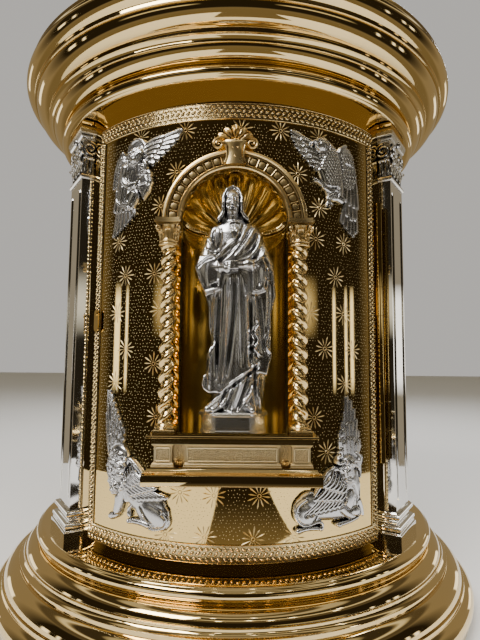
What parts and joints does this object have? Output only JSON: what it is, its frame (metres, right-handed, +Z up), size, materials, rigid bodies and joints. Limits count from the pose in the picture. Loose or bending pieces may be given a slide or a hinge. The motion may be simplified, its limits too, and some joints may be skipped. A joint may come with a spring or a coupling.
{
  "type": "round altar tabernacle",
  "caption": "Round gold altar tabernacle with stepped base and cornice, silver pilasters, and a curved hinged door with a shell niche, a robed figure and winged reliefs.",
  "frame": {"origin": "centre of the round base, on the table", "axes": "+Z up, the door faces -Y, +X to the right of somebody facing the door"},
  "size_m": [0.4112, 0.4112, 0.5589],
  "materials": {
    "polished_gold": "gold plated and mirror polished",
    "textured_gold": "gold plated, stamped leaf texture",
    "cast_gold": "gold plated castings, polished edges",
    "polished_silver": "silver plated and polished",
    "antique_silver": "silver plated, darkened in the hollows",
    "plain_steel": "plain steel",
    "felt": "felt",
    "linen": "white woven linen"
  },
  "bodies": {
    "cabinet": {"base_foot_ring": "polished_gold", "base_lower_moulding": "polished_gold", "base_upper_moulding": "polished_gold", "base_top_plate": "polished_gold", "base_floor_plate": "plain_steel", "felt_base_ring": "felt", "cornice_crown_ring": "polished_gold", "cornice_upper_moulding": "polished_gold", "cornice_lower_moulding": "polished_gold", "cornice_soffit_plate": "polished_gold", "cap_dome": "polished_gold", "finial_knob": "polished_gold", "finial_cross": "cast_gold", "drum_shell": "polished_gold", "door_frame": "polished_gold", "chamber_lining": "polished_gold", "chamber_floor": "polished_gold", "chamber_floor_cloth": "linen", "chamber_ceiling": "polished_gold", "tie_rods": "plain_steel", "tie_nuts": "plain_steel", "pilaster_bases": "polished_silver", "pilaster_shafts": "polished_silver", "pilaster_capitals": "polished_silver", "pilaster_top_blocks": "polished_gold", "hinge_frame_leaf": "polished_gold", "hinge_pin": "plain_steel", "hinge_screws": "polished_gold", "strike_plate": "plain_steel"},
    "door": {"door_panel": "polished_gold", "door_border": "textured_gold", "niche_wall": "polished_gold", "niche_floor": "polished_gold", "niche_shell": "polished_gold", "arch_moulding": "cast_gold", "keystone_crest": "cast_gold", "column_left": "cast_gold", "column_right": "cast_gold", "column_bases": "cast_gold", "column_capitals": "cast_gold", "predella_bottom_slab": "cast_gold", "predella_top_slab": "cast_gold", "predella_block": "cast_gold", "predella_leaves": "cast_gold", "statue_pedestal": "antique_silver", "statue_figure": "antique_silver", "angel_relief": "antique_silver", "eagle_relief": "antique_silver", "lion_relief": "antique_silver", "ox_relief": "antique_silver", "relief_screws": "plain_steel", "hinge_door_leaf": "polished_gold", "lock_case": "plain_steel", "keyhole_cover_pin": "textured_gold"},
    "lock_bolt": {"lock_bolt": "plain_steel"},
    "lock_cam": {"lock_barrel": "plain_steel", "lock_cam": "plain_steel"},
    "keyhole_cover": {"keyhole_cover": "textured_gold"}
  },
  "joints": [
    {"name": "door_swing", "type": "hinge", "parent": "cabinet", "child": "door", "pos_m": [0.11241, -0.10409, 0.218], "axis": [0, 0, 1], "range_deg": [0, 110]},
    {"name": "lock_cam_turn", "type": "hinge", "parent": "door", "child": "lock_cam", "pos_m": [-0.09681, -0.10113, 0.222], "axis": [0.6915, 0.7224, 0], "range_deg": [0, 36.8]},
    {"name": "lock_bolt_slide", "type": "slide", "parent": "door", "child": "lock_bolt", "axis": [-0.7224, 0.6915, 0], "range_m": [0, 0.009]},
    {"name": "keyhole_cover_swivel", "type": "hinge", "parent": "door", "child": "keyhole_cover", "pos_m": [-0.10511, -0.1098, 0.2285], "axis": [-0.6915, -0.7224, 0], "range_deg": [0, 90]}
  ],
  "couplings": [
    {"joint": "lock_bolt_slide", "follows": "lock_cam_turn", "m_per_rad": 0.014}
  ]
}
